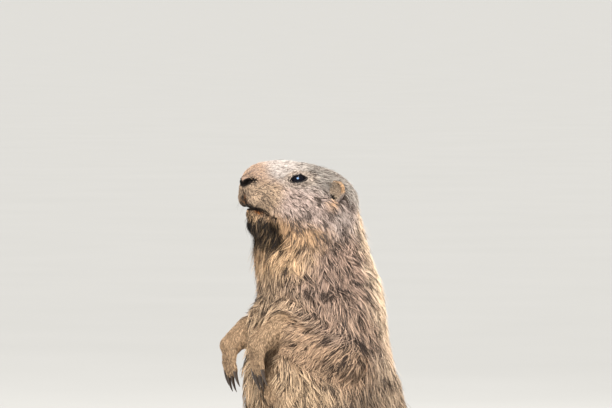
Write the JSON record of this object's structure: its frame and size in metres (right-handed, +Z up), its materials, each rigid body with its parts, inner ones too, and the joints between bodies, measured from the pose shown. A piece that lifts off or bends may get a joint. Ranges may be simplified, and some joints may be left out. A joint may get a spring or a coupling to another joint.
{
  "type": "alpine marmot model",
  "caption": "Life-size still model of an alpine marmot sitting upright on its haunches, head turned up, forefeet hanging at the chest.",
  "frame": {"origin": "middle of the model's bounding box, on the floor it sits on", "axes": "+Z up, the animal faces -Y, its left side is +X"},
  "size_m": [0.2174, 0.3156, 0.3997],
  "materials": {
    "coat_head": "short dense grizzled fur",
    "coat_body": "long grizzled guard hair over dark underfur",
    "coat_paw": "short close fur",
    "coat_tail": "bushy dark hair",
    "ear_skin": "thin skin under very short hair",
    "eye": "wet gloss",
    "nose": "damp bare skin",
    "claw": "smooth horn"
  },
  "bodies": {
    "root": {"head": "coat_head", "neck": "coat_body", "torso": "coat_body", "abdomen": "coat_body", "foreleg_left": "coat_body", "foreleg_right": "coat_body", "hindleg_left": "coat_body", "hindleg_right": "coat_body", "forefoot_left": "coat_paw", "forefoot_right": "coat_paw", "hindfoot_left": "coat_paw", "hindfoot_right": "coat_paw", "tail_base": "coat_tail", "tail_end": "coat_tail", "ear_left": "ear_skin", "ear_right": "ear_skin", "eye_left": "eye", "eye_right": "eye", "nose": "nose", "claw_fore_left_1": "claw", "claw_fore_left_2": "claw", "claw_fore_left_3": "claw", "claw_fore_left_4": "claw", "claw_fore_right_1": "claw", "claw_fore_right_2": "claw", "claw_fore_right_3": "claw", "claw_fore_right_4": "claw", "claw_hind_left_1": "claw", "claw_hind_left_2": "claw", "claw_hind_left_3": "claw", "claw_hind_left_4": "claw", "claw_hind_left_5": "claw", "claw_hind_right_1": "claw", "claw_hind_right_2": "claw", "claw_hind_right_3": "claw", "claw_hind_right_4": "claw", "claw_hind_right_5": "claw"}
  },
  "joints": []
}
